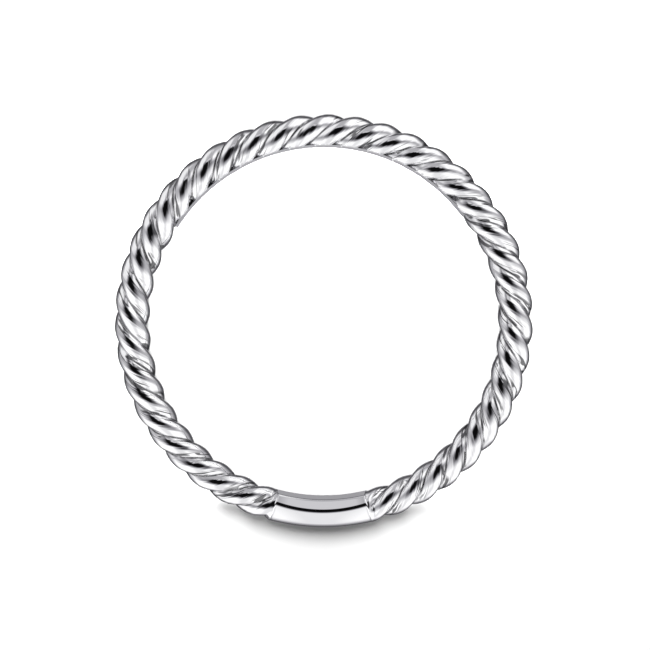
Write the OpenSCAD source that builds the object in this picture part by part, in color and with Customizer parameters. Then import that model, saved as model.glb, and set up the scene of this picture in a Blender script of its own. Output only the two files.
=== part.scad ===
// Rope twist ring: a band of three twisted strands with a plain sizing bar and an inner plate.
// The ring is one casting of polished white metal, in millimetres.
// It lies on its side: the finger axis is Z, the top of the ring is at +Y and the bar at -Y.
// The origin is at the middle of the finger hole, on the surface that the ring lies on.
// Angles named q go round the ring, clockwise from its top as seen from above.
// Angles named f go round the rope, from its outer side over its upper side to its inner side.

/* [Ring] */
// Clear diameter of the finger hole, between the inner bumps of the rope
finger_d = 16.9; // [14:0.1:22]
// Thickness of the rope over its bumps
rope_d = 1.73; // [1.66:0.01:2.2]
// Thickness of the rope where it runs into the sizing bar
rope_end_d = 1.57; // [1.3:0.01:1.7]
// Angle from the top at which the rope starts to thin towards the bar
taper_angle = 60; // [30:5:130]
// Share by which the rope's section is flatter over its top and its base than a round one
rope_flatness = 0.13; // [0:0.01:0.2]

/* [Twist] */
// Pitch of the bumps, along the middle of the rope
bump_pitch = 1.355; // [1.0:0.005:2.4]
// Depth of the grooves between the strands
groove_depth = 0.26; // [0.1:0.01:0.34]
// Distance of the first outer groove from the end of the bar
first_groove = 0.45; // [0:0.05:1]

/* [Inner plate] */
// Distance that the plate's face is set back from the inner bumps, at the top
plate_set_back = 0.19; // [0.05:0.01:0.4]
// The same distance at the ends of the plate
plate_end_set_back = 0.06; // [0:0.01:0.4]
// Width of the plate, along the finger
plate_w = 1.16; // [0.7:0.02:1.4]
// Angle from the top to the left end of the plate
plate_left_angle = 57; // [20:1:80]
// Angle from the top to the right end of the plate
plate_right_angle = 51; // [20:1:80]

/* [Sizing bar] */
// Length of the bar, round its outer side
bar_length = 5.12; // [3:0.02:10]
// Thickness of the bar, from its flat inner face to its outer side
bar_wall = 1.48; // [1.3:0.01:1.7]
// Width of the bar at its middle, along the finger
bar_w = 1.66; // [1.4:0.01:1.7]
// Width of the bar at its ends
bar_end_w = 1.54; // [1.3:0.01:1.7]
// Depth of the crest, the bar's highest line, inside its outer side
bar_crest = 0.88; // [0.7:0.01:1]
// Distance by which the crest lies closer to the finger at the bar's ends
bar_crest_bow = 0.1; // [0:0.01:0.2]
// Radius of the rounding over the crest
bar_crest_round = 0.4; // [0.1:0.02:0.5]
// Slope of the bevel from the crest down to the inner face
bar_bevel_angle = 26; // [10:1:35]
// Slope at which the outer dome leaves the crest
bar_dome_angle = 6; // [0:1:20]

/* [Hidden] */

// Radii of the rope and of the ring
rope_r = rope_d / 2;
rope_end_r = rope_end_d / 2;
outer_r = finger_d / 2 + rope_d;
middle_r = outer_r - rope_r;

// Points round the rope: the grooves lie on them, and so do the tops of the bumps
strands = 3;
points_per_strand = 6;
points_around = strands * points_per_strand;
point_turn = 360 / points_around;
strand_turn = 360 / strands;

// Angles of the bar and the rope, and the sections along the rope
// From one section to the next the strands turn by one point, so an edge follows each groove
bar_turn = bar_length / outer_r * 180 / PI;
rope_turn = 360 - bar_turn;
section_pitch = bump_pitch / points_per_strand;
rope_sections = round(rope_turn * PI / 180 * middle_r / section_pitch);
section_turn = rope_turn / rope_sections;
rope_start = bar_turn / 2 - 180;
first_groove_sections = round(first_groove / section_pitch);

// Sizing bar
bar_inner_r = outer_r - bar_wall;
bar_sections = 14;
bar_end_angle = 0.5;

// Points of the bar's section: the dome, the rounded crest, the bevel and half of the inner face
dome_points = 4;
crest_point = dome_points + 1;
face_point = crest_point + 2;

// Points of a section at which the plate's corner and its inner face begin
plate_corner_point = 7;
inner_point = points_around / 2;

// Radius of the rope at angle q: it thins from taper_angle to the ends of the bar
function rope_r_at(q) =
    let(share = max(0, abs(q) - taper_angle) / (180 - bar_turn / 2 - taper_angle))
    rope_r - (rope_r - rope_end_r) * pow(share, 2);

// Middle of the rope at angle q: its outer bumps keep to one circle
function middle_r_at(q) = outer_r - rope_r_at(q);

// Distance from the middle of the rope to its surface, at angle f from the top of a strand
// Each strand is a circle that reaches the rope's radius and meets the next one in the groove
function strand_reach(f, r) =
    let(
        groove_r = r * (1 - groove_depth / rope_r),
        groove_x = groove_r * cos(strand_turn / 2),
        groove_y = groove_r * sin(strand_turn / 2),
        strand_r = (pow(r - groove_x, 2) + pow(groove_y, 2)) / (2 * (r - groove_x)),
        middle = r - strand_r
    )
    middle * cos(f) + sqrt(pow(strand_r, 2) - pow(middle * sin(f), 2));

// Height of a point over the rope's middle, from its height h in a round rope of radius r
function flattened(h, r) = h * (1 - rope_flatness * pow(h / r, 2)) / (1 - rope_flatness);

// Angle from the nearest strand's top, for angle f in a section whose groove is at angle groove
function from_strand_top(f, groove) =
    let(past_groove = (f - groove) - strand_turn * floor((f - groove) / strand_turn))
    past_groove - strand_turn / 2;

// Plate's distance inside the middle of the rope at angle q, or 0 where there is no plate
function plate_depth_at(q) =
    let(end = q < 0 ? plate_left_angle : plate_right_angle, share = pow(sin(q) / sin(end), 2))
    abs(q) > end ? 0 : rope_r - plate_set_back + (plate_set_back - plate_end_set_back) * share;

// Point k of the rope's section number i, as its radius in the ring and its height
function rope_point(i, k) =
    let(
        q = rope_start + i * section_turn,
        f = k * point_turn,
        groove = (first_groove_sections - i) * point_turn,
        r = rope_r_at(q),
        reach = strand_reach(from_strand_top(f, groove), r),
        plate = plate_depth_at(q),
        from_inner = k - inner_point,
        on_plate = plate > 0 && abs(from_inner) <= inner_point - plate_corner_point,
        at_corner = abs(from_inner) == inner_point - plate_corner_point
    )
    !on_plate ? [middle_r_at(q) + reach * cos(f), rope_r + flattened(reach * sin(f), r)]
    : at_corner ? [middle_r_at(q) - plate, rope_r - sign(from_inner) * plate_w / 2]
    : [middle_r_at(q) - plate, rope_r - plate * tan(from_inner * point_turn)];

// Point k of a section of the bar; share goes from 0 at the bar's middle to 1 at its ends
// The outer dome is part of an ellipse that ends at the slope of bar_dome_angle
function bar_point(k, share) =
    let(
        n = min(k, points_around - k),
        upper = k <= inner_point ? 1 : -1,
        bow = pow(share, 2),
        half_w = (bar_w + (bar_end_w - bar_w) * bow) / 2,
        crest_r = outer_r - bar_crest - bar_crest_bow * bow,
        dome_in = outer_r - crest_r - bar_crest_round * sin(bar_dome_angle),
        dome_h = half_w - bar_crest_round * (1 - cos(bar_dome_angle)),
        lean = dome_in / dome_h * tan(bar_dome_angle),
        dome_cos = lean / (1 - lean),
        dome_f = acos(dome_cos) * n / dome_points,
        bevel_r = crest_r - bar_crest_round * sin(bar_bevel_angle),
        bevel_h = half_w - bar_crest_round * (1 - cos(bar_bevel_angle)),
        face_h = bevel_h - (bevel_r - bar_inner_r) * tan(bar_bevel_angle)
    )
    n <= dome_points ? [
        outer_r - dome_in * (1 - cos(dome_f)) / (1 - dome_cos),
        rope_r + upper * dome_h * sin(dome_f) / sqrt(1 - pow(dome_cos, 2))
    ]
    : n == crest_point ? [crest_r, rope_r + upper * half_w]
    : n < face_point ? [bevel_r, rope_r + upper * bevel_h]
    : [bar_inner_r, rope_r + upper * face_h * (inner_point - n) / (inner_point - face_point)];

// A section's point, turned to its place round the ring
function place(p, q) = [p[0] * sin(q), p[0] * cos(q), p[1]];

// Angle of section number i of the bar: its ends stand just clear of the rope's last sections
function bar_q(i) = 180 - bar_turn / 2 + bar_end_angle + i * (bar_turn - 2 * bar_end_angle) / bar_sections;

// The ring: the rope's sections and then the bar's, joined into one closed skin
module ring() {
    rope_points = [
        for (i = [0 : rope_sections], k = [0 : points_around - 1])
            place(rope_point(i, k), rope_start + i * section_turn)
    ];
    bar_points = [
        for (i = [0 : bar_sections], k = [0 : points_around - 1])
            place(bar_point(k, abs(2 * i / bar_sections - 1)), bar_q(i))
    ];
    all_sections = rope_sections + bar_sections + 2;
    faces = [
        for (i = [0 : all_sections - 1], k = [0 : points_around - 1])
            let(
                here = i * points_around,
                next = (i + 1) % all_sections * points_around,
                before = (k + points_around - 1) % points_around
            )
            each [
                [here + before, next + before, here + k],
                [next + before, next + k, here + k]
            ]
    ];
    color("gainsboro")
        polyhedron(points = concat(rope_points, bar_points), faces = faces, convexity = 6);
}

ring();
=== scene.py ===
"""Rope twist ring: three twisted strands, a plain sizing bar and an inner plate, in polished white gold.

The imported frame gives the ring's main sizes. The forms are made in millimetres by Geometry Nodes, united into
one casting, and brought to metres at the end. Angles q go round the ring, clockwise from its top (+Y) as
seen from above, and angles f go round the rope, from its outer side over its upper side. Lengths are in
millimetres and angles in radians, unless a comment says otherwise.
"""

import logging
import math
from dataclasses import dataclass, field, replace
from enum import Enum
from typing import Any, Optional, Union

import bpy
from mathutils import Matrix, Vector


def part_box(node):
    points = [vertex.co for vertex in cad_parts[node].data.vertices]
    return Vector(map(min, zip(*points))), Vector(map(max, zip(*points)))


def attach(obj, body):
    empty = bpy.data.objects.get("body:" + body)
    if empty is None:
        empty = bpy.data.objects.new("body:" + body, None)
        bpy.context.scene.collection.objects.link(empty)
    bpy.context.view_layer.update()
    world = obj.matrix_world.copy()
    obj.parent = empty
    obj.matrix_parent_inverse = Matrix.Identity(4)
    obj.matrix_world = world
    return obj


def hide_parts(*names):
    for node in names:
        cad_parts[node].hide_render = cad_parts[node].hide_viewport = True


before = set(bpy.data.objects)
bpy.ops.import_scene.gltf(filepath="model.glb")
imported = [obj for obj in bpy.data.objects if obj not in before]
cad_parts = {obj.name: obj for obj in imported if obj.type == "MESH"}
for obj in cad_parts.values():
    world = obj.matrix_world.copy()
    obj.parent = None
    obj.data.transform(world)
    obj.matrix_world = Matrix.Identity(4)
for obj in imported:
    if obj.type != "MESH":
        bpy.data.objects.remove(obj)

LOG = logging.getLogger("rope_twist_ring")
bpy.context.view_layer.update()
NODE = "ring"
BODY = "root"
MM = 0.001
Colour = tuple[float, float, float, float]
Triple = tuple[float, float, float]


class Lay(Enum):
    """Which way round the strands turn as they go clockwise round the ring."""

    LEFT = -1
    RIGHT = 1


class Value:
    """A number in a node tree. Python's operators on it add Math nodes."""

    def __init__(self, tree: "Tree", socket: bpy.types.NodeSocket) -> None:
        """Keeps the tree and the socket that gives the number."""
        self.tree = tree
        self.socket = socket

    def __add__(self, other: "Number") -> "Value":
        """Adds a number."""
        return self.tree.math("ADD", self, other)

    def __radd__(self, other: "Number") -> "Value":
        """Is added to a number."""
        return self.tree.math("ADD", other, self)

    def __sub__(self, other: "Number") -> "Value":
        """Takes a number away."""
        return self.tree.math("SUBTRACT", self, other)

    def __rsub__(self, other: "Number") -> "Value":
        """Is taken away from a number."""
        return self.tree.math("SUBTRACT", other, self)

    def __mul__(self, other: "Number") -> "Value":
        """Multiplies by a number."""
        return self.tree.math("MULTIPLY", self, other)

    def __rmul__(self, other: "Number") -> "Value":
        """Multiplies a number."""
        return self.tree.math("MULTIPLY", other, self)

    def __truediv__(self, other: "Number") -> "Value":
        """Divides by a number."""
        return self.tree.math("DIVIDE", self, other)

    def __rtruediv__(self, other: "Number") -> "Value":
        """Divides a number."""
        return self.tree.math("DIVIDE", other, self)

    def __abs__(self) -> "Value":
        """Drops the sign."""
        return self.tree.math("ABSOLUTE", self)


Number = Union[float, int, Value]


def blend(start: Number, end: Number, share: Number) -> Number:
    """Goes from one number to another as the share goes from 0 to 1."""
    return start + (end - start) * share


def eased(share: Value) -> Value:
    """Lets a share from 0 to 1 start and end without a kink."""
    return share * share * (3 - 2 * share)


class Tree:
    """A node tree, with one method that adds any node and one that adds Math nodes."""

    def __init__(self, tree: bpy.types.NodeTree) -> None:
        """Keeps the tree that nodes are added to."""
        self.tree = tree

    def add(
        self,
        kind: str,
        settings: Optional[dict[str, Any]] = None,
        inputs: Optional[dict[Union[str, int], Any]] = None,
    ) -> bpy.types.Node:
        """Adds a node, with its settings made first and its sockets filled after.

        Args:
            kind: The node's type.
            settings: Values of the node's own properties.
            inputs: For each socket, by name or number, a value or what is linked to it.

        Returns:
            The new node.
        """
        node = self.tree.nodes.new(kind)
        for name, setting in (settings or {}).items():
            setattr(node, name, setting)
        for key, given in (inputs or {}).items():
            self.feed(node.inputs[key], given)
        return node

    def feed(self, socket: bpy.types.NodeSocket, given: Any) -> None:
        """Links a socket to a value, node or socket, or sets its number.

        Args:
            socket: The socket that is filled.
            given: A Value, a socket, a node (its first output), a list of those, or a plain value.
        """
        if isinstance(given, list):
            for one in given:
                self.feed(socket, one)
        elif isinstance(given, Value):
            self.tree.links.new(given.socket, socket)
        elif isinstance(given, bpy.types.NodeSocket):
            self.tree.links.new(given, socket)
        elif isinstance(given, bpy.types.Node):
            self.tree.links.new(given.outputs[0], socket)
        else:
            socket.default_value = given

    def math(self, operation: str, *terms: Number) -> Value:
        """Adds one Math node.

        Args:
            operation: The node's operation.
            terms: Its numbers, in order.

        Returns:
            The result as a value.
        """
        node = self.add("ShaderNodeMath", {"operation": operation}, dict(enumerate(terms)))
        return Value(self, node.outputs[0])

    def clamp(self, number: Number) -> Value:
        """Keeps a number between 0 and 1."""
        return self.math("MINIMUM", self.math("MAXIMUM", number, 0.0), 1.0)

    def past(self, number: Value, start: float, end: float) -> Value:
        """Gives how far a number is past a start, from 0 to 1 at the end."""
        return self.clamp((number - start) / (end - start))

    def axes(self, vector: Any) -> tuple[Value, Value, Value]:
        """Splits a vector.

        Args:
            vector: The socket or node that gives it.

        Returns:
            Its x, y and z.
        """
        split = self.add("ShaderNodeSeparateXYZ", inputs={0: vector})
        return Value(self, split.outputs[0]), Value(self, split.outputs[1]), Value(self, split.outputs[2])

    def vector(self, x: Number, y: Number, z: Number = 0.0) -> bpy.types.Node:
        """Joins three numbers to a vector."""
        return self.add("ShaderNodeCombineXYZ", inputs={0: x, 1: y, 2: z})


class FormTree(Tree):
    """A Geometry Nodes tree with named inputs, which ends in Realize Instances and Set Material."""

    def __init__(self, name: str, sizes: dict[str, Any]) -> None:
        """Makes the tree and its inputs.

        Args:
            name: The tree's name.
            sizes: For each named input, its value: a number, a whole number or an object.
        """
        super().__init__(bpy.data.node_groups.new(name, "GeometryNodeTree"))
        self.sizes = sizes
        self.sockets: dict[str, str] = {}
        for label, size in sizes.items():
            kind = self._socket_kind(size)
            made = self.tree.interface.new_socket(name=label, in_out="INPUT", socket_type=kind)
            self.sockets[label] = made.identifier
        self.tree.interface.new_socket(name="Geometry", in_out="OUTPUT", socket_type="NodeSocketGeometry")
        self.group_input = self.tree.nodes.new("NodeGroupInput")

    @staticmethod
    def _socket_kind(size: Any) -> str:
        """Picks the socket type for an input's value.

        Args:
            size: The value.

        Returns:
            The socket type's name.
        """
        if isinstance(size, bpy.types.Object):
            return "NodeSocketObject"
        return "NodeSocketInt" if isinstance(size, int) else "NodeSocketFloat"

    def size(self, label: str) -> Value:
        """Gives a named input as a value."""
        return Value(self, self.group_input.outputs[label])

    def place(self, radius: Value, q: Value, height: Value) -> bpy.types.Node:
        """Gives the place at a radius of the ring, an angle round it and a height."""
        return self.vector(radius * self.math("SINE", q), radius * self.math("COSINE", q), height)

    def skin(self) -> bpy.types.Node:
        """Makes a closed cylinder along z, of radius 1 and length 1, from the inputs Points and Sections.

        Returns:
            The node that gives the cylinder.
        """
        counts = {"Vertices": self.size("Points"), "Side Segments": self.size("Sections")}
        lengths = {"Radius": 1.0, "Depth": 1.0}
        return self.add("GeometryNodeMeshCylinder", {"fill_type": "NGON"}, counts | lengths)

    def marked(self, geometry: Any, name: str, kind: str, value: Any) -> bpy.types.Node:
        """Stores a number or vector on each point, for the material.

        Args:
            geometry: The geometry.
            name: The attribute's name.
            kind: Its type: FLOAT or FLOAT_VECTOR.
            value: What is stored.

        Returns:
            The node that gives the marked geometry.
        """
        return self.add(
            "GeometryNodeStoreNamedAttribute",
            {"data_type": kind, "domain": "POINT"},
            {"Geometry": geometry, "Name": name, "Value": value},
        )

    def end(self, geometry: Any, material: Optional[bpy.types.Material] = None) -> None:
        """Ends the tree.

        Args:
            geometry: What the tree has made.
            material: The material of the finished form, if it has one yet.
        """
        whole = self.add("GeometryNodeRealizeInstances", inputs={0: geometry})
        dressed = self.add("GeometryNodeSetMaterial", inputs={"Geometry": whole, "Material": material})
        self.add("NodeGroupOutput", inputs={0: dressed})

    def build(self, name: str) -> bpy.types.Object:
        """Runs the tree as a modifier and keeps the result as a plain mesh.

        Args:
            name: The new object's name.

        Returns:
            The object, with no modifier, at the origin.
        """
        holder = bpy.data.objects.new(name + "_form", bpy.data.meshes.new(name + "_form"))
        bpy.context.scene.collection.objects.link(holder)
        modifier = holder.modifiers.new(self.tree.name, "NODES")
        modifier.node_group = self.tree
        for label, identifier in self.sockets.items():
            modifier[identifier] = self.sizes[label]
        shaped = holder.evaluated_get(bpy.context.evaluated_depsgraph_get())
        mesh = bpy.data.meshes.new_from_object(shaped)
        holder.modifiers.clear()
        bpy.data.objects.remove(holder)
        made = bpy.data.objects.new(name, mesh)
        bpy.context.scene.collection.objects.link(made)
        return made


@dataclass
class RopeTwist:
    """The rope: three round strands, laid round each other and round the ring."""

    outer_radius: float
    rope_radius: float
    bar_turn: float
    # Radius where the rope meets the bar, and the angle from the top at which it starts to thin
    end_radius: float = 0.785
    taper_start: float = math.radians(60)
    # Share by which the section is flatter over its top and its base than a round one
    flatness: float = 0.13
    groove_depth: float = 0.26
    # Angle round the ring in which the grooves run out at the bar
    groove_fade: float = math.radians(1.7)
    bump_pitch: float = 1.355
    # Distance of the first outer groove from the bar
    first_groove: float = 0.45
    lay: Lay = Lay.LEFT
    strands: int = 3
    points_per_strand: int = 24
    sections_per_bump: int = 24
    cad_points_per_strand: int = 6
    # Angle by which each end of the rope reaches into the bar
    end_overlap: float = 0.001
    # Place of the first strand in the material's patterns, and the step to the next strand
    pattern_start: float = 4.0
    pattern_step: float = 5.0

    @property
    def half_turn(self) -> float:
        """Angle from the top of the ring to the end of the bar."""
        return math.pi - self.bar_turn / 2

    @property
    def strand_turn(self) -> float:
        """Angle from one strand to the next, round the rope."""
        return 2 * math.pi / self.strands

    @property
    def cad_section(self) -> float:
        """Distance between two sections of the solid, along the middle of the rope."""
        return self.bump_pitch / self.cad_points_per_strand

    @property
    def bumps(self) -> float:
        """Number of bumps along the rope, in whole sections of the solid."""
        length = 2 * self.half_turn * (self.outer_radius - self.rope_radius)
        return round(length / self.cad_section) / self.cad_points_per_strand

    @property
    def twist(self) -> float:
        """Turn of the strands for each radian round the ring."""
        return self.bumps * self.strand_turn / (2 * self.half_turn)

    @property
    def first_groove_angle(self) -> float:
        """Angle of a groove at the start of the rope, in whole points of the solid."""
        point_turn = 2 * math.pi / (self.strands * self.cad_points_per_strand)
        return round(self.first_groove / self.cad_section) * point_turn

    def tree(self) -> FormTree:
        """Makes the tree that bends a cylinder's skin into the twisted rope.

        Each strand is a circle that reaches the rope's radius and meets the next strand in the groove. Its
        points are spread evenly over its own arc, so tau is an angle round the strand's middle.

        Returns:
            The tree.
        """
        t = FormTree(
            "rope_twist",
            {
                "Outer Radius": self.outer_radius,
                "Rope Radius": self.rope_radius,
                "End Radius": self.end_radius,
                "Taper Start": self.taper_start,
                "Half Turn": self.half_turn,
                "End Overlap": self.end_overlap,
                "Flatness": self.flatness,
                "Groove Depth": self.groove_depth,
                "Groove Fade": self.groove_fade,
                "Twist": self.lay.value * self.twist,
                "First Groove": self.first_groove_angle,
                "Sections": round(self.bumps * self.sections_per_bump),
                "Points": self.strands * self.points_per_strand,
            },
        )
        x, y, z = t.axes(t.add("GeometryNodeInputPosition"))
        half_turn = t.size("Half Turn") + t.size("End Overlap")
        q = 2 * z * half_turn
        thinning = t.math("MAXIMUM", abs(q) - t.size("Taper Start"), 0.0)
        share = thinning / (t.size("Half Turn") - t.size("Taper Start"))
        rope = t.size("Rope Radius")
        r = rope - (rope - t.size("End Radius")) * (share * share)
        fade = eased(t.clamp((t.size("Half Turn") - abs(q)) / t.size("Groove Fade")))
        groove_r = r * (1 - fade * t.size("Groove Depth") / rope)
        groove_x = groove_r * math.cos(self.strand_turn / 2)
        groove_y = groove_r * math.sin(self.strand_turn / 2)
        strand_r = ((r - groove_x) * (r - groove_x) + groove_y * groove_y) / (2 * (r - groove_x))
        middle = r - strand_r
        reach = t.math("ARCCOSINE", (groove_x - middle) / strand_r)
        round_rope = t.math("ARCTAN2", y, x) / self.strand_turn
        strand = t.math("FLOOR", round_rope)
        tau = (2 * (round_rope - strand) - 1) * reach
        out = middle + strand_r * t.math("COSINE", tau)
        side = strand_r * t.math("SINE", tau)
        groove = t.size("First Groove") + t.size("Twist") * (q + t.size("Half Turn"))
        f = groove + (strand + 0.5) * self.strand_turn
        radius = t.size("Outer Radius") - r + out * t.math("COSINE", f) - side * t.math("SINE", f)
        round_height = (out * t.math("SINE", f) + side * t.math("COSINE", f)) / r
        flat = t.size("Flatness")
        height = rope + r * round_height * (1 - flat * round_height * round_height) / (1 - flat)
        crest = t.math("COSINE", tau * (math.pi / 2) / reach)
        number = t.math("FLOORED_MODULO", strand, float(self.strands))
        pattern = number * self.pattern_step + self.pattern_start
        lay = t.vector(q * (t.size("Outer Radius") - rope), abs(side), pattern)
        grooved = t.marked(t.skin(), "groove", "FLOAT", (1 - crest) * fade)
        laid = t.marked(grooved, "lay", "FLOAT_VECTOR", lay)
        place = t.place(radius, q, height)
        t.end(t.add("GeometryNodeSetPosition", inputs={"Geometry": laid, "Position": place}))
        return t


@dataclass
class SizingBar:
    """The plain bar at the base: domed outside, with a round crest and a bevel to its inner face."""

    outer_radius: float
    height: float
    turn: float
    wall: float = 1.48
    width: float = 1.66
    end_width: float = 1.54
    # Depth of the crest inside the outer side, and how much deeper it lies at the bar's ends
    crest: float = 0.88
    crest_bow: float = 0.1
    crest_round: float = 0.4
    # Slopes of the bevel and of the dome where it meets the crest
    bevel: float = math.radians(26)
    dome: float = math.radians(6)
    corner: float = 0.15
    # Radius of the round section at the bar's ends, and the share of its half length that is drawn to it
    end_radius: float = 0.78
    end_share: float = 0.035
    sections: int = 60
    points: int = 144
    # Share of the sections' spacing that is even; the rest draws them closer towards the ends
    even_share: float = 0.35
    # The way along half a section, from 0 on the outer side: where each of its stretches ends
    way_dome: float = 3.5
    way_crest: float = 5.0
    way_bevel: float = 6.0
    way_corner: float = 7.0
    way_face: float = 8.0

    def tree(self) -> FormTree:
        """Makes the tree that bends a cylinder's skin into the bar.

        From the outer side to the middle of the inner face, half a section is part of an ellipse, the
        round crest, the straight bevel, a small round corner and the flat face.

        Returns:
            The tree.
        """
        t = FormTree(
            "sizing_bar",
            {
                "Outer Radius": self.outer_radius,
                "Height": self.height,
                "Turn": self.turn,
                "Wall": self.wall,
                "Width": self.width,
                "End Width": self.end_width,
                "Crest": self.crest,
                "Crest Bow": self.crest_bow,
                "Crest Round": self.crest_round,
                "Bevel": self.bevel,
                "Dome": self.dome,
                "Corner": self.corner,
                "End Radius": self.end_radius,
                "End Share": self.end_share,
                "Sections": self.sections,
                "Points": self.points,
            },
        )
        x, y, z = t.axes(t.add("GeometryNodeInputPosition"))
        from_middle = self.even_share * 2 * z + (1 - self.even_share) * t.math("SINE", math.pi * z)
        q = math.pi + from_middle / 2 * t.size("Turn")
        v = t.math("ARCTAN2", y, x)
        bow = from_middle * from_middle
        half_width = (t.size("Width") - (t.size("Width") - t.size("End Width")) * bow) / 2
        crest_depth = t.size("Crest") + t.size("Crest Bow") * bow
        way = abs(v) * (self.way_face / math.pi)
        into_ring, height = self._half_section(t, way, half_width, crest_depth)
        drawn = eased(t.clamp((abs(from_middle) - 1) / t.size("End Share") + 1))
        into_ring = blend(into_ring, t.size("End Radius") * (1 - t.math("COSINE", v)), drawn)
        height = blend(height, t.size("End Radius") * t.math("SINE", abs(v)), drawn)
        radius = t.size("Outer Radius") - into_ring
        place = t.place(radius, q, t.size("Height") + height * t.math("SIGN", v))
        t.end(t.add("GeometryNodeSetPosition", inputs={"Geometry": t.skin(), "Position": place}))
        return t

    def _half_section(
        self, t: FormTree, way: Value, half_width: Value, crest_depth: Value
    ) -> tuple[Value, Value]:
        """Follows half of the bar's section.

        Args:
            t: The bar's tree.
            way: How far along the half section, from 0 to way_face.
            half_width: Height of the crest over the bar's middle.
            crest_depth: Distance of the crest inside the outer side.

        Returns:
            The distance inside the outer side, and the height over the bar's middle.
        """
        crest, corner = t.size("Crest Round"), t.size("Corner")
        dome, bevel = t.size("Dome"), t.size("Bevel")
        dome_in = crest_depth - crest * t.math("SINE", dome)
        dome_high = half_width - crest * (1 - t.math("COSINE", dome))
        lean = dome_in / dome_high * t.math("TANGENT", dome)
        dome_cos = lean / (1 - lean)
        turned = t.math("ARCCOSINE", dome_cos) * t.past(way, 0.0, self.way_dome)
        over_crest = t.past(way, self.way_dome, self.way_crest) * (dome + bevel) - dome
        round_corner = bevel + t.past(way, self.way_bevel, self.way_corner) * (math.pi / 2 - bevel)
        flat_in = t.size("Wall") - crest_depth - crest * t.math("SINE", bevel)
        bevel_in = flat_in - corner * (1 - t.math("SINE", bevel))
        slope = bevel_in / t.math("COSINE", bevel) * t.past(way, self.way_crest, self.way_bevel)
        into_ring = (
            dome_in * (1 - t.math("COSINE", turned)) / (1 - dome_cos)
            + crest * (t.math("SINE", over_crest) + t.math("SINE", dome))
            + slope * t.math("COSINE", bevel)
            + corner * (t.math("SINE", round_corner) - t.math("SINE", bevel))
        )
        height = (
            dome_high * t.math("SINE", turned) / t.math("SQRT", 1 - dome_cos * dome_cos)
            + crest * (t.math("COSINE", over_crest) - t.math("COSINE", dome))
            - slope * t.math("SINE", bevel)
            - corner * (t.math("COSINE", bevel) - t.math("COSINE", round_corner))
        )
        return into_ring, height * (1 - t.past(way, self.way_corner, self.way_face))


@dataclass
class InnerPlate:
    """The thin plate inside the top of the ring, and the cut that seats it in the rope."""

    finger_radius: float
    height: float
    # Distance of the plate's face outside the rope's inner bumps, at the top and at the plate's ends
    set_back: float = 0.19
    end_set_back: float = 0.06
    width: float = 1.16
    thickness: float = 0.14
    edge_slope: float = math.radians(4)
    # Angles from the top to the plate's two ends
    left: float = math.radians(57)
    right: float = math.radians(51)
    sections: int = 260
    # Share of the sections' spacing that is even; the rest draws them closer towards the ends
    even_share: float = 0.1
    # The cut: how far it reaches into the finger hole and, as a share of the thickness, into the rope
    cut_reach: float = 1.2
    cut_share: float = 0.9
    cut_width: float = 2.4
    # Angle by which the cut is shorter than the plate at each end
    cut_inset: float = 0.004

    def tree(self, name: str, low: float, high: float, width: float, slope: float, inset: float) -> FormTree:
        """Makes a tree that sweeps a strip along the plate's path.

        Args:
            name: The tree's name.
            low: Distance from the plate's face to the strip's inner side; less than 0 is further in.
            high: Distance from the plate's face to the strip's outer side.
            width: The strip's width along the finger.
            slope: Slope of its edges, which makes its inner side the narrower one.
            inset: Angle by which the strip is shorter than the plate at each end.

        Returns:
            The tree.
        """
        t = FormTree(
            name,
            {
                "Finger Radius": self.finger_radius,
                "Height": self.height,
                "Set Back": self.set_back,
                "End Set Back": self.end_set_back,
                "Left": self.left,
                "Right": self.right,
                "Low": low,
                "High": high,
                "Width": width,
                "Slope": slope,
                "Inset": inset,
                "Sections": self.sections,
            },
        )
        line = t.add("GeometryNodeCurvePrimitiveLine", inputs={"End": (1.0, 0.0, 0.0)})
        path = t.add("GeometryNodeResampleCurve", inputs={"Curve": line, "Count": t.size("Sections")})
        along, _, _ = t.axes(t.add("GeometryNodeInputPosition"))
        closer_at_ends = (1 - t.math("COSINE", along * math.pi)) / 2
        share = along * self.even_share + closer_at_ends * (1 - self.even_share)
        left, right = t.size("Left"), t.size("Right")
        q = (left + right - 2 * t.size("Inset")) * share - left + t.size("Inset")
        end = blend(left, right, t.math("GREATER_THAN", q, 0.0))
        rise = t.math("SINE", q) / t.math("SINE", end)
        back = t.size("Set Back") - (t.size("Set Back") - t.size("End Set Back")) * (rise * rise)
        radius = t.size("Finger Radius") + back + (t.size("Low") + t.size("High")) / 2
        place = t.place(radius, q, t.size("Height"))
        bent = t.add("GeometryNodeSetPosition", inputs={"Geometry": path, "Position": place})
        upright = t.add("GeometryNodeSetCurveNormal", {"mode": "Z_UP"}, {"Curve": bent})
        deep = (t.size("High") - t.size("Low")) / 2
        half_width = t.size("Width") / 2
        narrow = half_width - 2 * deep * t.math("TANGENT", t.size("Slope"))
        corners = ((-1 * deep, -1 * half_width), (deep, -1 * narrow), (deep, narrow), (-1 * deep, half_width))
        strip = t.add(
            "GeometryNodeCurvePrimitiveQuadrilateral",
            {"mode": "POINTS"},
            {
                f"Point {number}": t.vector(inwards, along_finger)
                for number, (inwards, along_finger) in enumerate(corners, start=1)
            },
        )
        swept = t.add(
            "GeometryNodeCurveToMesh",
            inputs={"Curve": upright, "Profile Curve": strip, "Fill Caps": True},
        )
        t.end(swept)
        return t

    def plate(self) -> bpy.types.Object:
        """Builds the plate.

        Returns:
            The plate.
        """
        strip = self.tree(
            "inner_plate", low=0.0, high=self.thickness, width=self.width, slope=self.edge_slope, inset=0.0
        )
        return strip.build("inner_plate")

    def cut(self) -> bpy.types.Object:
        """Builds the block that cuts the rope's inner bumps back to just inside the plate.

        Returns:
            The block.
        """
        block = self.tree(
            "plate_cut",
            low=-self.cut_reach,
            high=self.thickness * self.cut_share,
            width=self.cut_width,
            slope=0.0,
            inset=self.cut_inset,
        )
        return block.build("plate_cut")


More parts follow.
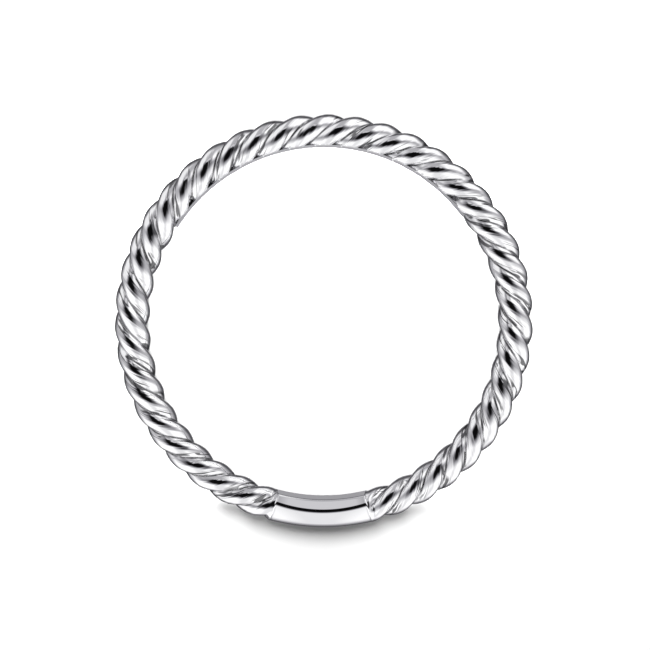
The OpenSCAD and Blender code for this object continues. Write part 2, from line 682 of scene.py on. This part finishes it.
@dataclass(frozen=True)
class SoftStep:
    """A step from 0 to 1 in a pattern, by the value where it starts and its steepness."""

    start: float
    steepness: float

    def of(self, t: Tree, number: Value) -> Value:
        """Gives the step of a number."""
        return t.clamp((number - self.start) * self.steepness)


@dataclass(frozen=True)
class WhiteGold:
    """Polished white gold: mirror bright, with faint buffing lines, painted shade in the groove bottoms and
    painted dark reflection lines beside the grooves.
    """

    colour: Colour = (0.88, 0.878, 0.893, 1.0)
    # Colour of the painted shade in the groove bottoms and of the painted dark reflection lines
    groove_shade_colour: Colour = (0.07, 0.07, 0.075, 1.0)
    # Strength of the painted dark reflection lines beside the grooves, from 0 to 1
    reflection_line_strength: float = 0.88
    roughness: float = 0.035
    groove_roughness: float = 0.12
    # Clouds in the polish: their scale, and the least share of the roughness and the range over it
    cloud_scale: float = 900.0
    cloud_least: float = 0.7
    cloud_range: float = 0.6
    # Depths of the buffing waves and of the lines, and how fast the lines fade away from a groove
    wave: float = 0.03
    line: float = 0.016
    line_fade: float = 2.5
    # Streaks: waves for each millimetre along and across a strand, and the step between strands
    wave_streaks: Triple = (0.9, 2.2, 1.0)
    line_streaks: Triple = (1.3, 9.0, 1.0)
    break_streaks: Triple = (1.9, 12.0, 3.0)
    patch_streaks: Triple = (1.4, 1.2, 2.0)
    # Thin lines of the painted dark reflections beside the grooves: their wave's angle for each millimetre
    # across, how far the lines bend it, its contrast and what is taken off, so that the lines are narrower than
    # the gaps
    hair_angle: float = 56.0
    hair_bend: float = 16.0
    hair_contrast: float = 3.0
    hair_gap: float = 0.5
    # Where the groove's bottom with its painted shade and the zone beside it with the painted dark reflection
    # lines begin, and what breaks each of them up
    bottom: SoftStep = SoftStep(0.8, 8.0)
    bottom_breaks: SoftStep = SoftStep(0.4, 6.0)
    beside: SoftStep = SoftStep(0.2, 5.0)
    beside_patches: SoftStep = SoftStep(0.42, 9.0)

    def material(self) -> bpy.types.Material:
        """Makes the material.

        Returns:
            The material.
        """
        made = bpy.data.materials.new("polished_white_gold")
        made.use_nodes = True
        made.node_tree.nodes.clear()
        t = Tree(made.node_tree)
        groove = Value(t, t.add("ShaderNodeAttribute", {"attribute_name": "groove"}).outputs["Fac"])
        place = t.add("ShaderNodeTexCoord").outputs["Object"]
        noise = {"Vector": place, "Scale": self.cloud_scale, "Detail": 4.0}
        cloud = Value(t, t.add("ShaderNodeTexNoise", inputs=noise).outputs[0])
        lay = t.add("ShaderNodeAttribute", {"attribute_name": "lay"}).outputs["Vector"]
        waves = self._streaks(t, lay, self.wave_streaks, detail=1.0)
        lines = self._streaks(t, lay, self.line_streaks, detail=1.0)
        breaks = self._streaks(t, lay, self.break_streaks, detail=2.0)
        # Painted shade in the groove bottoms, broken up: it darkens the colour there and makes the metal
        # rougher
        deep = self.bottom.of(t, groove) * self.bottom_breaks.of(t, breaks)
        _, across, _ = t.axes(lay)
        reflection_line_waves = t.math("SINE", across * self.hair_angle + lines * self.hair_bend)
        patches = self._streaks(t, lay, self.patch_streaks, detail=0.0)
        reflection_line_shape = t.clamp(reflection_line_waves * self.hair_contrast - self.hair_gap)
        # Painted dark reflection lines in the zone beside each groove, broken into patches
        painted_reflection_lines = reflection_line_shape * self.beside.of(t, groove) * self.beside_patches.of(t, patches) * self.reflection_line_strength
        polish = self.roughness * (self.cloud_least + self.cloud_range * cloud)
        roughness = polish + (self.groove_roughness - self.roughness) * deep
        # The metal's colour, darkened towards the groove colour by the painted shade and the painted dark
        # reflection lines
        colour = t.add(
            "ShaderNodeMix",
            {"data_type": "RGBA"},
            {0: t.math("MAXIMUM", deep, painted_reflection_lines), 6: self.colour, 7: self.groove_shade_colour},
        )
        height = waves * self.wave + lines * self.line * t.clamp(groove * self.line_fade)
        bump = t.add("ShaderNodeBump", inputs={"Strength": 1.0, "Distance": MM, "Height": height})
        metal = t.add(
            "ShaderNodeBsdfPrincipled",
            inputs={"Base Color": colour.outputs[2], "Metallic": 1.0, "Roughness": roughness, "Normal": bump},
        )
        t.add("ShaderNodeOutputMaterial", inputs={"Surface": metal})
        return made

    @staticmethod
    def _streaks(t: Tree, lay: bpy.types.NodeSocket, stretch: Triple, detail: float) -> Value:
        """Makes a noise that is drawn out along the strands.

        Args:
            t: The material's tree.
            lay: The place on the strand: along it, across it and the strand's number.
            stretch: Waves for each millimetre along and across, and the step between strands.
            detail: Detail of the noise.

        Returns:
            The noise, from 0 to 1.
        """
        scaled = t.add("ShaderNodeVectorMath", {"operation": "MULTIPLY"}, {0: lay, 1: stretch})
        noise = t.add("ShaderNodeTexNoise", inputs={"Vector": scaled, "Scale": 1.0, "Detail": detail})
        return Value(t, noise.outputs[0])


@dataclass
class Casting:
    """The whole ring as one casting: rope, bar and plate united, smooth, in metres."""

    # Angle between two faces from which their edge shows as a sharp one
    sharp_angle: float = math.radians(32)
    scale: float = MM

    def unite(
        self,
        rope: bpy.types.Object,
        bar: bpy.types.Object,
        plate: bpy.types.Object,
        cut: bpy.types.Object,
        material: bpy.types.Material,
    ) -> bpy.types.Object:
        """Cuts the rope, joins bar and plate to it and removes the loose forms.

        Args:
            rope: The rope, in millimetres.
            bar: The sizing bar.
            plate: The inner plate.
            cut: The block that the rope is cut back with.
            material: The metal.

        Returns:
            The ring.
        """
        t = FormTree(
            "casting",
            {
                "Rope": rope,
                "Bar": bar,
                "Plate": plate,
                "Cut": cut,
                "Sharp Angle": self.sharp_angle,
                "Scale": self.scale,
            },
        )
        forms = {
            label: t.add("GeometryNodeObjectInfo", inputs={"Object": t.group_input.outputs[label]})
            for label in ("Rope", "Bar", "Plate", "Cut")
        }
        seat = t.add(
            "GeometryNodeMeshBoolean",
            {"operation": "DIFFERENCE", "solver": "MANIFOLD"},
            {"Mesh 1": forms["Rope"].outputs["Geometry"], "Mesh 2": forms["Cut"].outputs["Geometry"]},
        )
        whole = t.add(
            "GeometryNodeMeshBoolean",
            {"operation": "UNION", "solver": "MANIFOLD"},
            {"Mesh 2": [seat, forms["Bar"].outputs["Geometry"], forms["Plate"].outputs["Geometry"]]},
        )
        smooth = t.add("GeometryNodeSetShadeSmooth", {"domain": "FACE"}, {"Geometry": whole})
        angle = t.add("GeometryNodeInputMeshEdgeAngle")
        is_sharp = t.math("GREATER_THAN", Value(t, angle.outputs[0]), t.size("Sharp Angle"))
        creased = t.add(
            "GeometryNodeSetShadeSmooth",
            {"domain": "EDGE"},
            {"Geometry": smooth, "Selection": is_sharp, "Shade Smooth": False},
        )
        scale = t.vector(t.size("Scale"), t.size("Scale"), t.size("Scale"))
        scaled = t.add("GeometryNodeTransform", inputs={"Geometry": creased, "Scale": scale})
        t.end(scaled, material)
        ring = t.build("rope_twist_ring")
        for form in (rope, bar, plate, cut):
            bpy.data.objects.remove(form)
        return ring


@dataclass
class Ring:
    """The rope twist ring, with the sizes that its parts share."""

    outer_radius: float
    rope_radius: float
    bar_length: float = 5.12
    finish: WhiteGold = field(default_factory=WhiteGold)

    @classmethod
    def from_frame(cls) -> "Ring":
        """Reads the ring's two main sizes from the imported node's box, in millimetres."""
        low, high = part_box(NODE)
        return cls(outer_radius=round(high.y / MM, 2), rope_radius=round((low.z + high.z) / 2 / MM, 3))

    def build(self) -> bpy.types.Object:
        """Builds the rope, bar and plate and unites them.

        Returns:
            The ring as one piece.
        """
        bar_turn = self.bar_length / self.outer_radius
        rope = RopeTwist(self.outer_radius, self.rope_radius, bar_turn)
        rope_form = rope.tree().build("rope")
        LOG.info("rope: %d bumps, %d faces", rope.bumps, len(rope_form.data.polygons))
        bar_form = SizingBar(self.outer_radius, self.rope_radius, bar_turn).tree().build("sizing_bar")
        LOG.info("sizing bar: %d faces", len(bar_form.data.polygons))
        plate = InnerPlate(self.outer_radius - 2 * self.rope_radius, self.rope_radius)
        plate_form, cut_form = plate.plate(), plate.cut()
        LOG.info("inner plate: %d faces", len(plate_form.data.polygons))
        ring = Casting().unite(rope_form, bar_form, plate_form, cut_form, self.finish.material())
        LOG.info("ring: %d faces", len(ring.data.polygons))
        return ring


@dataclass(frozen=True)
class PhotoView:
    """The camera, at the photograph's angle to the ring and with its framing."""

    # Side of the square frame, and the place in it of the middle of the finger hole
    frame_px: float = 650.0
    centre_px: tuple[float, float] = (323.9, 322.2)
    px_per_mm: float = 20.55
    # Angle of the view from straight above, and its turn round the finger axis
    tilt: float = math.radians(9.6)
    turn: float = math.radians(0.85)
    distance: float = 220.0
    sensor: float = 36.0
    # Nearest and furthest distance that the camera sees, in metres
    clip: tuple[float, float] = (0.05, 10.0)

    def place(self, ring: Ring) -> bpy.types.Object:
        """Makes the camera and gives it to the scene.

        Args:
            ring: The ring that is seen.

        Returns:
            The camera.
        """
        px = 1 / self.px_per_mm
        turned = Matrix.Rotation(self.turn, 3, "Z")
        back = turned @ Vector((0, math.sin(self.tilt), math.cos(self.tilt)))
        up = turned @ Vector((0, math.cos(self.tilt), -math.sin(self.tilt)))
        right = up.cross(back)
        middle = self.frame_px / 2
        aim = Vector((0, 0, ring.rope_radius))
        aim += right * (middle - self.centre_px[0]) * px
        aim -= up * (middle - self.centre_px[1]) * px
        data = bpy.data.cameras.new("photo_view")
        data.sensor_width = self.sensor
        data.lens = self.sensor * self.distance / (self.frame_px * px)
        data.clip_start, data.clip_end = self.clip
        camera = bpy.data.objects.new("photo_view", data)
        turn = Matrix((right, up, back)).transposed().to_4x4()
        camera.matrix_world = Matrix.Translation((aim + back * self.distance) * MM) @ turn
        bpy.context.scene.collection.objects.link(camera)
        bpy.context.scene.camera = camera
        return camera


@dataclass(frozen=True)
class Panel:
    """One even patch of the light tent, by angles from straight above, in degrees."""

    across: float
    up: float
    half_width: float
    half_height: float
    feather: float
    light: float

    def over(self, t: Tree, light: Value, across: Value, up: Value) -> Value:
        """Lays the panel over the light behind it.

        Args:
            t: The world's tree.
            light: The light so far.
            across: Angle of the direction across the view.
            up: Angle of the direction up the view.

        Returns:
            The light with the panel in front.
        """
        inside: Number = 1.0
        for angle, centre, half in ((across, self.across, self.half_width), (up, self.up, self.half_height)):
            inside = t.clamp((half - abs(angle - centre)) / self.feather + 0.5) * inside
        return blend(light, self.light, inside)


@dataclass(frozen=True)
class Opening:
    """A round opening of the light tent, by angles from straight above, in degrees."""

    across: float
    up: float
    radius: float
    feather: float
    light: float

    def over(self, t: Tree, light: Value, across: Value, up: Value) -> Value:
        """Lays the opening over the light behind it.

        Args:
            t: The world's tree.
            light: The light so far.
            across: Angle of the direction across the view.
            up: Angle of the direction up the view.

        Returns:
            The light with the opening in front.
        """
        off_across, off_up = across - self.across, up - self.up
        off = t.math("SQRT", off_across * off_across + off_up * off_up)
        return blend(light, self.light, t.clamp((self.radius - off) / self.feather + 0.5))


@dataclass
class LightTent:
    """White panels round the ring with grey gaps between them and an opening for the camera.

    Each turn says from which angle to which, in degrees from straight above, one light goes over to the next.
    """

    # Light of the gaps between the panels, near straight above and far from it
    gap_near: float = 0.08
    gap_far: float = 0.5
    gap_turn: tuple[float, float] = (15.0, 55.0)
    # Light from below the ring's level, and from straight below
    low_light: float = 0.1
    low_turn: tuple[float, float] = (103.0, 131.0)
    behind_light: float = 0.38
    behind_turn: tuple[float, float] = (152.0, 164.0)
    # Least length of a direction's level part, so that nothing is divided by 0 straight above
    least_level: float = 1e-5
    # Each part lies over those before it
    parts: tuple[Union[Panel, Opening], ...] = (
        Panel(across=54, up=68, half_width=38, half_height=44, feather=20, light=1.17),
        Panel(across=-58, up=62, half_width=34, half_height=40, feather=20, light=0.98),
        Panel(across=0, up=-52, half_width=84, half_height=42, feather=30, light=1.2),
        Panel(across=0, up=-50, half_width=12, half_height=44, feather=12, light=0.9),
        Opening(across=-2, up=14, radius=29, feather=18, light=0.08),
        Panel(across=0, up=41, half_width=11, half_height=6, feather=5, light=0.68),
        Opening(across=-3, up=14, radius=20, feather=5, light=0.004),
    )

    def light(self, t: Tree, direction: Any) -> Value:
        """Works out the light from a direction.

        Args:
            t: The world's tree.
            direction: The socket that gives the direction.

        Returns:
            The light's strength.
        """
        x, y, z = t.axes(direction)
        off_axis = t.math("ARCCOSINE", z) * (180 / math.pi)
        level = t.math("MAXIMUM", t.math("SQRT", x * x + y * y), self.least_level)
        across, up = off_axis * x / level, off_axis * y / level
        light = blend(self.gap_near, self.gap_far, t.past(off_axis, *self.gap_turn))
        for part in self.parts:
            light = part.over(t, light, across, up)
        light = blend(light, self.low_light, t.past(off_axis, *self.low_turn))
        return blend(light, self.behind_light, t.past(off_axis, *self.behind_turn))


class LampKind(Enum):
    """The lamps that light the floor."""

    SUN = "SUN"
    SOFT_BOX = "AREA"


@dataclass(frozen=True)
class FloorLamp:
    """A soft lamp that lights the floor and doesn't show in the metal. Places are in millimetres."""

    name: str
    kind: LampKind
    place: Triple
    aim: Triple
    strength: float
    spread: float
    width: float = 0.0
    depth: float = 0.0

    @classmethod
    def pair(cls, suffix: str, place: Triple, **light: float) -> tuple["FloorLamp", "FloorLamp"]:
        """Gives a soft box that shines straight down on the left, and its mirror image on the right.

        Args:
            suffix: What the names have after "left" and "right".
            place: The left lamp's place.
            light: The strength, spread, width and depth of each lamp.

        Returns:
            The left lamp and the right one.
        """
        x, y, z = place
        left = cls("left" + suffix, LampKind.SOFT_BOX, place, (x, y, 0), **light)
        return left, replace(left, name="right" + suffix, place=(-x, y, z), aim=(-x, y, 0))

    def build(self) -> bpy.types.Object:
        """Makes the lamp.

        Returns:
            The lamp, turned to its aim.
        """
        data = bpy.data.lights.new(self.name, self.kind.value)
        data.energy = self.strength
        if self.kind is LampKind.SUN:
            data.angle = self.spread
        else:
            data.shape = "RECTANGLE"
            data.size, data.size_y = self.width * MM, self.depth * MM
            data.spread = self.spread
        lamp = bpy.data.objects.new(self.name, data)
        line = Vector(self.aim) - Vector(self.place)
        turn = line.to_track_quat("-Z", "Y").to_matrix().to_4x4()
        lamp.matrix_world = Matrix.Translation(Vector(self.place) * MM) @ turn
        lamp.visible_glossy = False
        bpy.context.scene.collection.objects.link(lamp)
        return lamp


@dataclass
class Studio:
    """A plain pale floor and soft light round the ring."""

    tent: LightTent = field(default_factory=LightTent)
    lamps: tuple[FloorLamp, ...] = (
        FloorLamp("key", LampKind.SUN, (0, 72, 100), (0, 0, 0), strength=3.7, spread=math.radians(34)),
        FloorLamp(
            "top",
            LampKind.SOFT_BOX,
            (0, 7, 7),
            (0, 6.5, 0),
            strength=0.003,
            spread=math.radians(60),
            width=32,
            depth=6,
        ),
        *FloorLamp.pair("", (-8.4, -9, 5), strength=0.0001, spread=math.radians(90), width=9, depth=8),
        *FloorLamp.pair(
            "_arc", (-8.6, -3, 2.4), strength=0.00046, spread=math.radians(24), width=10.4, depth=12.4
        ),
    )
    # Half the side of the floor, in metres
    floor_half: float = 0.6
    floor_colour: Colour = (0.93, 0.93, 0.93, 1.0)
    room_light: float = 0.19
    # Tints of the tent's dim and bright light
    dim_colour: Colour = (0.94, 0.925, 1.0, 1.0)
    bright_colour: Colour = (1.0, 1.0, 1.0, 1.0)

    def build(self) -> None:
        """Makes the floor and the light."""
        self._floor()
        self._world()
        for lamp in self.lamps:
            lamp.build()

    def _floor(self) -> None:
        """Makes the floor that the ring lies on. It doesn't show in the metal."""
        half = self.floor_half
        mesh = bpy.data.meshes.new("floor")
        corners = [(-half, -half, 0), (half, -half, 0), (half, half, 0), (-half, half, 0)]
        mesh.from_pydata(corners, [], [(0, 1, 2, 3)])
        floor = bpy.data.objects.new("floor", mesh)
        bpy.context.scene.collection.objects.link(floor)
        paint = bpy.data.materials.new("pale_floor")
        paint.use_nodes = True
        paint.node_tree.nodes.clear()
        t = Tree(paint.node_tree)
        matt = t.add("ShaderNodeBsdfDiffuse", inputs={"Color": self.floor_colour})
        t.add("ShaderNodeOutputMaterial", inputs={"Surface": matt})
        mesh.materials.append(paint)
        floor.visible_glossy = False

    def _world(self) -> None:
        """Makes the light: the tent in reflections, and an even room light for the rest."""
        world = bpy.data.worlds.new("studio")
        bpy.context.scene.world = world
        world.use_nodes = True
        world.node_tree.nodes.clear()
        t = Tree(world.node_tree)
        direction = t.add("ShaderNodeTexCoord").outputs["Generated"]
        path = t.add("ShaderNodeLightPath").outputs
        from_floor = t.clamp(Value(t, path["Diffuse Depth"]))
        reflected = Value(t, path["Is Glossy Ray"]) * (1 - from_floor)
        light = self.tent.light(t, direction)
        tints = {0: light, 6: self.dim_colour, 7: self.bright_colour}
        tint = t.add("ShaderNodeMix", {"data_type": "RGBA"}, tints).outputs[2]
        tent = t.add("ShaderNodeBackground", inputs={"Color": tint, "Strength": light})
        plain = {"Color": self.bright_colour, "Strength": self.room_light}
        room = t.add("ShaderNodeBackground", inputs=plain)
        both = t.add("ShaderNodeMixShader", inputs={0: reflected, 1: room, 2: tent})
        t.add("ShaderNodeOutputWorld", inputs={"Surface": both})


def main() -> None:
    """Builds the ring, its view and its stage, and reports each piece."""
    logging.basicConfig(level=logging.INFO, format="%(name)s: %(message)s")
    bpy.context.scene.view_settings.view_transform = "Standard"
    ring = Ring.from_frame()
    PhotoView().place(ring)
    piece = ring.build()
    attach(piece, BODY)
    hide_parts(NODE)
    Studio().build()


if __name__ == "__main__":
    main()
